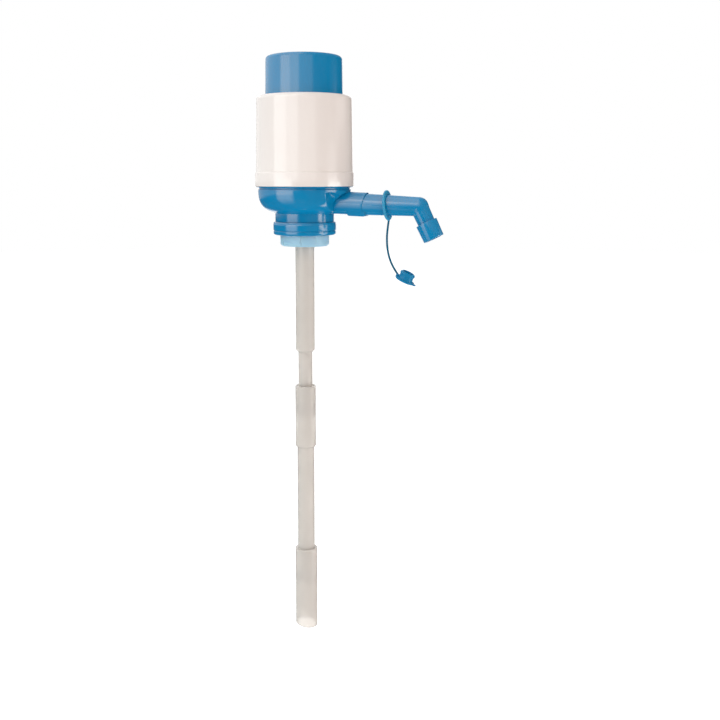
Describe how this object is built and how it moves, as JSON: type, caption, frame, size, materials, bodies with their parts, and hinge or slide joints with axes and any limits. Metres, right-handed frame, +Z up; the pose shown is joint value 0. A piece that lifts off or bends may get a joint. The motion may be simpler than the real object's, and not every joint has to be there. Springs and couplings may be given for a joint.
{
  "type": "water jug hand pump",
  "caption": "Hand-press pump for a large water bottle: push button over a bellows in a round housing, swivelling bent spout with tethered cap, neck plug and long dip tube.",
  "frame": {"origin": "centre of the seat on the bottle's rim, on the pump's axis, at the underside of the neck collar", "axes": "+Z up the pump's axis from the bottle to the push button; +X the way the spout leaves"},
  "size_m": [0.1547, 0.0798, 0.4818],
  "materials": {
    "blue_plastic": "satin moulded",
    "blue_soft_plastic": "soft flexible moulding",
    "white_plastic": "glossy moulded",
    "inner_plastic": "moulded",
    "plug_soft_plastic": "translucent soft",
    "tube_plastic": "translucent milky",
    "bellows_rubber": "matt rubber",
    "seal_rubber": "smooth rubber",
    "silicone": "translucent silicone",
    "screw_steel": "bright"
  },
  "bodies": {
    "base": {"base_body": "blue_plastic", "base_oring": "seal_rubber", "housing": "white_plastic", "air_deck": "inner_plastic", "deck_screws": "screw_steel", "delivery_valve": "silicone", "bellows": "bellows_rubber", "bellows_clamp_ring": "inner_plastic", "neck_gasket": "seal_rubber", "dip_tube_upper": "tube_plastic", "dip_tube_middle": "tube_plastic", "dip_tube_foot": "tube_plastic"},
    "plunger": {"push_button": "blue_plastic", "bellows_plate": "inner_plastic", "bellows_top_clip": "inner_plastic", "top_clip_screws": "screw_steel", "inlet_valve": "silicone"},
    "spout": {"spout_tube": "blue_plastic", "spout_orings": "seal_rubber", "nozzle_sleeve": "blue_plastic"},
    "tether": {"tether_ring": "blue_soft_plastic", "tether_strap": "blue_soft_plastic", "dust_cap": "blue_soft_plastic"},
    "plug": {"neck_plug": "plug_soft_plastic"},
    "collar": {"neck_collar": "blue_plastic"}
  },
  "joints": [
    {"name": "plunger_press", "type": "slide", "parent": "base", "child": "plunger", "axis": [0, 0, -1], "range_m": [0, 0.026], "stiffness_N_per_m": 900, "springref_m": -0.012, "deforming": ["bellows"]},
    {"name": "spout_swivel", "type": "hinge", "parent": "base", "child": "spout", "pos_m": [0, 0, 0.0264], "axis": [0.9995, 0, -0.0319], "continuous": true},
    {"name": "tether_swivel", "type": "hinge", "parent": "base", "child": "tether", "pos_m": [0, 0, 0.0264], "axis": [0.9995, 0, -0.0319], "continuous": true},
    {"name": "plug_drop", "type": "slide", "parent": "base", "child": "plug", "axis": [0, 0, -1], "range_m": [0, 0.003]},
    {"name": "collar_turn", "type": "hinge", "parent": "plug", "child": "collar", "pos_m": [0, 0, 0], "axis": [0, 0, -1], "range_deg": [0, 360]}
  ],
  "couplings": [
    {"joint": "plug_drop", "follows": "collar_turn", "m_per_rad": 0.00047746}
  ]
}
